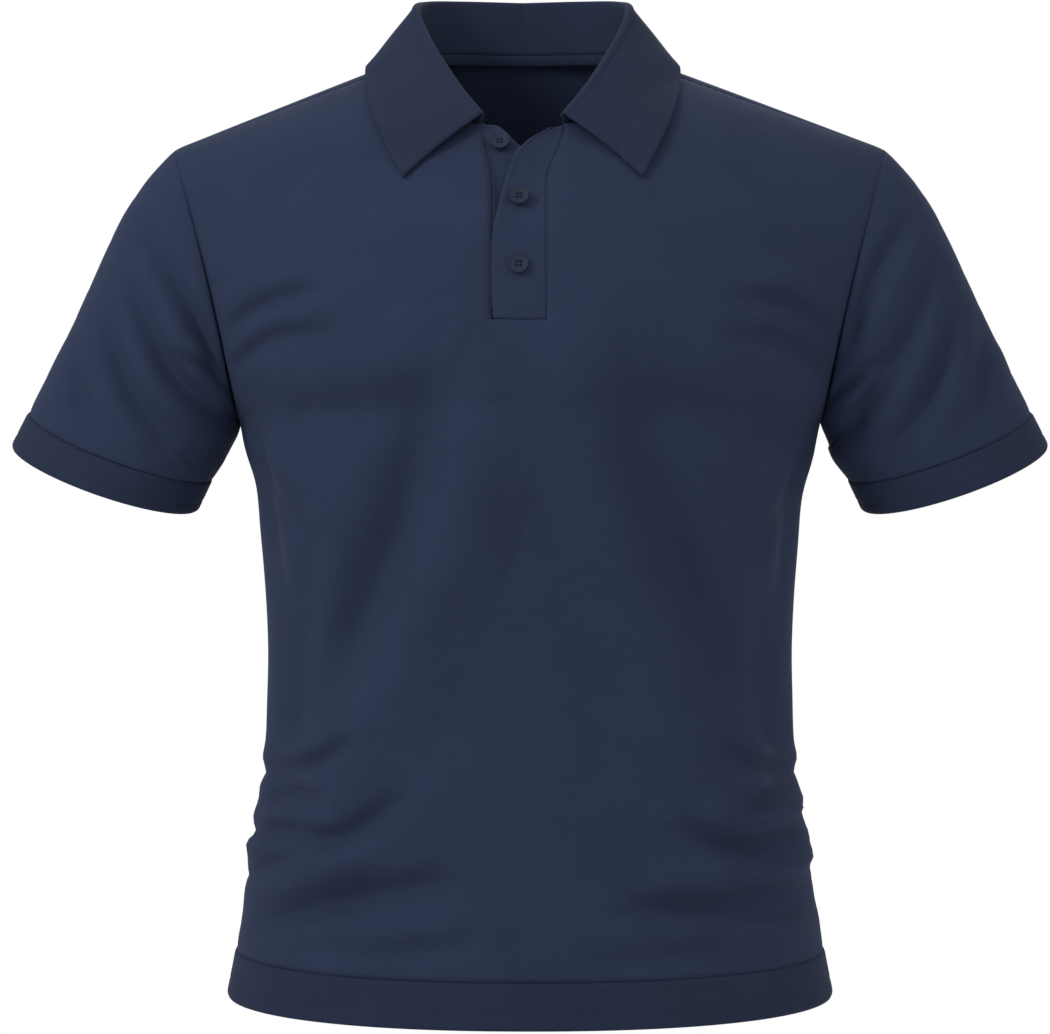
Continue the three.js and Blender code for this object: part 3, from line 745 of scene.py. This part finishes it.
STAND_ROWS, FOLD_ROWS, LEAF_ROWS = 10, 10, 30
columns = []
for j in range(COLLAR_COLUMNS + 1):
    around = mix(NECK_END, 360 - NECK_END, j / COLLAR_COLUMNS)
    side = 1 if around <= 180 else -1
    angle = around if around <= 180 else 360 - around
    roll, edge = collar_lines(angle, side)
    a = math.radians(angle)
    radial = Vector((side * math.sin(a), -math.cos(a), 0))
    ahead, _ = collar_lines(min(angle + 4, 180), side)
    behind, _ = collar_lines(max(angle - 4, NECK_END), side)
    along = (ahead - behind).normalized()
    out = (radial - along * radial.dot(along)).normalized()
    up = out.cross(along)
    if up.z < 0:
        up = -up
    seam = neckline(angle, side) - radial * (CLOTH / MM + STAND_GAP) + Vector((0, 0, STAND_RISE))
    fold_in = roll - out * ROLL
    fold_out = roll + out * ROLL
    column = [seam.lerp(fold_in, i / STAND_ROWS) for i in range(STAND_ROWS)]
    for i in range(FOLD_ROWS + 1):
        turn = math.pi * i / FOLD_ROWS
        column.append(roll - out * ROLL * math.cos(turn) + up * ROLL * math.sin(turn))
    for i in range(1, LEAF_ROWS + 1):
        share = i / LEAF_ROWS
        point = fold_out.lerp(edge, share) + out * LEAF_BULGE * math.sin(math.pi * share)
        arch = LEAF_ARCH * math.sin(math.pi * min(j / COLLAR_COLUMNS / ARCH_SHARE, 1))
        lift = LEAF_LIFT + CLOTH / MM + arch
        if angle < SHOULDER_ANGLE:
            hit = front_skin.ray_cast(Vector((point.x, -FAR, point.z)), Vector((0, 1, 0)))[0]
            if hit:
                point.y = min(point.y, hit.y - lift)
        if angle > SHOULDER_ANGLE:
            hit = back_skin.ray_cast(Vector((point.x, FAR, point.z)), Vector((0, -1, 0)))[0]
            if hit:
                point.y = max(point.y, hit.y + lift)
        column.append(point)
    columns.append(column)
rows = [[column[i] for column in columns] for i in range(len(columns[0]))]
SETTLING_ROUNDS = 6
for _ in range(SETTLING_ROUNDS):  # lets the leaf settle into one smooth sheet
    eased = [line[:] for line in rows]
    for i in range(STAND_ROWS + FOLD_ROWS + 2, len(rows) - 1):
        for j in range(1, COLLAR_COLUMNS):
            mean = (rows[i - 1][j] + rows[i + 1][j] + rows[i][j - 1] + rows[i][j + 1]) / 4
            eased[i][j] = rows[i][j].lerp(mean, 0.6)
    last = len(rows) - 1
    for j in range(1, COLLAR_COLUMNS):
        eased[last][j] = rows[last][j].lerp((rows[last][j - 1] + rows[last][j + 1]) / 2, 0.5)
    rows = eased
collar = cloth_piece("collar_fold", rows, flip=True, look=collar_knit)
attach(collar, "root")
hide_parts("collar")

# Neck tape: a narrow tape that covers the back neck seam on the inside.
TAPE_FROM, TAPE_HIGH = 112, 7.5
TAPE_INSET, TAPE_SLOPE, TAPE_SWELL, TAPE_RISE = 2.9, 0.2, 0.5, 0.6
TAPE_COLUMNS, TAPE_ROWS = 60, 6
rows = []
for i in range(TAPE_ROWS + 1):
    line = []
    for j in range(TAPE_COLUMNS + 1):
        around = mix(TAPE_FROM, 360 - TAPE_FROM, j / TAPE_COLUMNS)
        side = 1 if around <= 180 else -1
        angle = around if around <= 180 else 360 - around
        a = math.radians(angle)
        radial = Vector((side * math.sin(a), -math.cos(a), 0))
        drop = TAPE_HIGH * (1 - i / TAPE_ROWS)
        swell = TAPE_SWELL * math.sin(math.pi * i / TAPE_ROWS)
        inwards = radial * (TAPE_INSET - TAPE_SLOPE * drop + swell)
        line.append(neckline(angle, side) - inwards - Vector((0, 0, drop - TAPE_RISE)))
    rows.append(line)
tape = cloth_piece("neck_seam_tape", rows, flip=True, thick=1.0 * MM, look=band_knit)
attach(tape, "root")
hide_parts("neck_tape")

# Placket: two bands of pique on the slit's edges. The wearer's left one laps over, is
# sewn across its foot, and turns open above the middle button; the right one lies under.
OVER_ROWS, OVER_COLUMNS = 96, 28
LEADING_EDGE = [  # at, x, z, how far the edge lifts
    (0, -25.2, -180, 0.8), (0.4, -25.2, -124, 1.0), (0.55, -20.5, -101, 3.0),
    (0.7, -15, -80, 5.2), (0.82, -9, -65.5, 6.0), (0.92, 1, -55, 5.4), (1, 13, -48, 3.4),
]
FOOT_STITCH_Z = -174  # a row of stitching across the foot
STITCH_SINK, STITCH_WIDTH = 0.5, 0.9
OVER_STANDOFF = 0.9  # of the sewn side from the chest
EDGE_TURN = 1.1  # how far the two long edges turn in
SLIT_OVERLAP = 0.2  # the bands reach past the slit's edges by this much
rows = []
for i in range(OVER_ROWS + 1):
    at = i / OVER_ROWS
    edge_x, edge_z, lift = (read(LEADING_EDGE, at, k) for k in (1, 2, 3))
    right_z = mix(LEADING_EDGE[0][2], PLACKET["top"] - 1, at)
    line = []
    for j in range(OVER_COLUMNS + 1):
        t = j / OVER_COLUMNS
        x = mix(edge_x, slit(right_z, 1) + SLIT_OVERLAP, t)
        z = mix(edge_z, right_z, t)
        curl = 0.35 * lift * math.exp(-((t / 0.12) ** 2))
        roll = mix(lift, OVER_STANDOFF, ease(t / 0.85)) + curl
        edges = EDGE_TURN * (max(0, 1 - j / 2) ** 2 + max(0, 1 - (OVER_COLUMNS - j) / 2) ** 2)
        stitch = STITCH_SINK * math.exp(-(((z - FOOT_STITCH_Z) / STITCH_WIDTH) ** 2))
        foot = max(0, 1 - i / 3) ** 2 + stitch
        line.append(Vector((x, chest(x, z) - roll + edges + foot, z)))
    rows.append(line)
over_rows = rows
over = cloth_piece("placket_over_band", rows, thick=1.6 * MM)

UNDER_ROWS, UNDER_COLUMNS = 80, 28
UNDER_TOP = [  # x, z along the top edge
    (-32, -43), (-22, -44.5), (-12, -45.5), (-7, -50), (-2, -58.5), (7, -68),
]
SIDE_TURN, TOP_TURN = 0.9, 0.8
UNDER_SET, OPEN_SET, CENTRE_SET = 0.4, 1.9, 0.5  # how far behind the chest each part lies
OPEN_FROM, OPEN_OVER = -40, 50  # the height below which it sinks behind the over-placket
rows = []
for i in range(UNDER_ROWS + 1):
    at = i / UNDER_ROWS
    line = []
    for j in range(UNDER_COLUMNS + 1):
        t = j / UNDER_COLUMNS
        top_x = mix(UNDER_TOP[0][0], UNDER_TOP[-1][0], t)
        z = mix(PLACKET["bottom"] + 2, read(UNDER_TOP, top_x), at)
        x = mix(slit(z, -1) - SLIT_OVERLAP, mix(UNDER_TOP[-1][0], top_x, at * at), t)
        side_edge = SIDE_TURN * max(0, 1 - j / 2) ** 2
        top_edge = TOP_TURN * max(0, 1 - (UNDER_ROWS - i) / 2) ** 2
        sunk = OPEN_SET * ease(t / 0.25) * ease((OPEN_FROM - z) / OPEN_OVER)
        back_set = UNDER_SET + sunk + CENTRE_SET * ease(t / 0.3)
        line.append(Vector((x, chest(x, z) + back_set + side_edge + top_edge, z)))
    rows.append(line)
under_rows = rows
under = cloth_piece("placket_under_band", rows, thick=1.4 * MM)
for piece, node in ((over, "placket_over"), (under, "placket_under")):
    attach(piece, "root")
    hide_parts(node)

# Buttons: moulded discs with a raised rim, a dished middle and four holes, sewn on
# through the holes with two bars of thread. The top one is left undone.
BUTTON_RADIUS, BUTTON_THICK = 6.5 * MM, 2.6 * MM
HOLE_RADIUS, HOLE_SPREAD = 0.85 * MM, 1.75 * MM
RIM_WIDTH, DISH_DEPTH = 1.5 * MM, 0.75 * MM
THREAD_RADIUS, THREAD_LENGTH, THREAD_RISE = 0.36 * MM, 2.5 * MM, 0.52 * MM
shell = bpy.data.materials.new("navy_button")
shell.use_nodes = True
tree = shell.node_tree
gloss = tree.nodes["Principled BSDF"]
gloss.inputs["Roughness"].default_value = 0.6
gloss.inputs["Specular IOR Level"].default_value = 0.1
where = tree.nodes.new("ShaderNodeTexCoord")
swirl = tree.nodes.new("ShaderNodeTexNoise")
swirl.inputs["Scale"].default_value = 260.0
swirl.inputs["Detail"].default_value = 5.0
tree.links.new(where.outputs["Object"], swirl.inputs["Vector"])
tone = tree.nodes.new("ShaderNodeValToRGB")
tone.color_ramp.elements[0].color = (0.0105, 0.0140, 0.0270, 1)
tone.color_ramp.elements[1].color = (0.0170, 0.0225, 0.0410, 1)
tree.links.new(swirl.outputs["Fac"], tone.inputs["Fac"])
tree.links.new(tone.outputs["Color"], gloss.inputs["Base Color"])
grain = tree.nodes.new("ShaderNodeBump")
grain.inputs["Strength"].default_value = 0.08
grain.inputs["Distance"].default_value = 0.0002
tree.links.new(swirl.outputs["Fac"], grain.inputs["Height"])
tree.links.new(grain.outputs["Normal"], gloss.inputs["Normal"])


def only(*objects):
    """Selects these objects and no others, the first one active."""
    bpy.ops.object.select_all(action="DESELECT")
    for one in objects:
        one.select_set(True)
    bpy.context.view_layer.objects.active = objects[0]


def select_faces(test):
    """Selects the faces of the object in edit mode that pass a test."""
    bm = bmesh.from_edit_mesh(bpy.context.object.data)
    for face in bm.faces:
        face.select_set(test(face))
    bmesh.update_edit_mesh(bpy.context.object.data)


def button(name):
    bpy.ops.object.select_all(action="DESELECT")
    bpy.ops.mesh.primitive_cylinder_add(vertices=64, radius=BUTTON_RADIUS, depth=BUTTON_THICK)
    disc = bpy.context.object
    disc.name = disc.data.name = name
    bpy.ops.object.mode_set(mode="EDIT")
    bpy.ops.mesh.select_mode(type="FACE")
    select_faces(lambda face: face.normal.z > 0.9)
    bpy.ops.mesh.inset(thickness=RIM_WIDTH)
    bpy.ops.transform.translate(value=(0, 0, -DISH_DEPTH))
    bpy.ops.mesh.inset(thickness=0.5 * MM)
    bpy.ops.transform.translate(value=(0, 0, -0.15 * MM))
    bpy.ops.object.mode_set(mode="OBJECT")
    rounding = disc.modifiers.new("rounding", "BEVEL")
    rounding.width = 0.42 * MM
    rounding.segments = 4
    rounding.angle_limit = math.radians(25)
    bpy.ops.object.modifier_apply(modifier="rounding")
    for k in range(4):
        a = math.radians(45 + 90 * k)
        place = (HOLE_SPREAD * math.cos(a), HOLE_SPREAD * math.sin(a), 0)
        bpy.ops.object.select_all(action="DESELECT")
        bpy.ops.mesh.primitive_cylinder_add(
            vertices=20, radius=HOLE_RADIUS, depth=3 * BUTTON_THICK, location=place
        )
        drill = bpy.context.object
        only(disc)
        bore = disc.modifiers.new("bore", "BOOLEAN")
        bore.operation = "DIFFERENCE"
        bore.object = drill
        bpy.ops.object.modifier_apply(modifier="bore")
        bpy.data.objects.remove(drill)
    only(disc)
    bpy.ops.object.shade_smooth_by_angle(angle=math.radians(40))
    disc.data.materials.append(shell)
    return disc


def thread_bars(name):
    """Two bars of thread across the holes."""
    bars = []
    for k in (-1, 1):
        y = k * HOLE_SPREAD * math.sin(math.radians(45))
        bpy.ops.object.select_all(action="DESELECT")
        bpy.ops.mesh.primitive_cylinder_add(
            vertices=10, radius=THREAD_RADIUS, depth=THREAD_LENGTH,
            location=(0, y, THREAD_RISE), rotation=(0, math.pi / 2, 0),
        )
        bar = bpy.context.object
        bpy.ops.object.mode_set(mode="EDIT")
        bpy.ops.mesh.select_all(action="SELECT")
        bpy.ops.mesh.bevel(offset=0.12 * MM, segments=2)
        bpy.ops.object.mode_set(mode="OBJECT")
        bars.append(bar)
    only(*bars)
    bpy.ops.object.join()
    bpy.ops.object.transform_apply(location=True, rotation=True, scale=True)
    thread = bpy.context.object
    thread.name = thread.data.name = name
    thread.data.materials.append(band_knit)
    flat = thread.data.uv_layers.active or thread.data.uv_layers.new()
    flat.name = "flat"
    bpy.ops.object.shade_smooth()
    return thread


def seat(piece, x, z, y, tilt):
    """Stands a piece that was made flat on Z up on the placket, and applies its place."""
    piece.rotation_euler = (math.pi / 2 - tilt, 0, 0)
    normal = Vector((0, -math.cos(tilt), math.sin(tilt)))
    piece.location = Vector((x, y, z)) * MM + normal * BUTTON_THICK / 2
    only(piece)
    bpy.ops.object.transform_apply(location=True, rotation=True, scale=True)


over_skin = skin(over_rows, lambda i, j: False)
under_skin = skin(under_rows, lambda i, j: False)
for node, x, z, lies_on in [
    ("button_top", -20.5, -58, under_skin),
    ("button_middle", -7.5, -97.5, over_skin),
    ("button_bottom", -7.8, -143.5, over_skin),
]:
    ahead = [
        lies_on.ray_cast(Vector((x, -FAR, z + dz)), Vector((0, 1, 0)))[0] for dz in (-5, 0, 5)
    ]
    known = [hit for hit in ahead if hit]
    tilt = math.atan2(known[-1].y - known[0].y, known[-1].z - known[0].z)
    disc, thread = button(f"{node}_disc"), thread_bars(f"{node}_thread")
    middle = min(hit.y for hit in known[:2])
    for piece in (disc, thread):
        seat(piece, x, z, middle, tilt)
        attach(piece, "root")
    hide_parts(node)
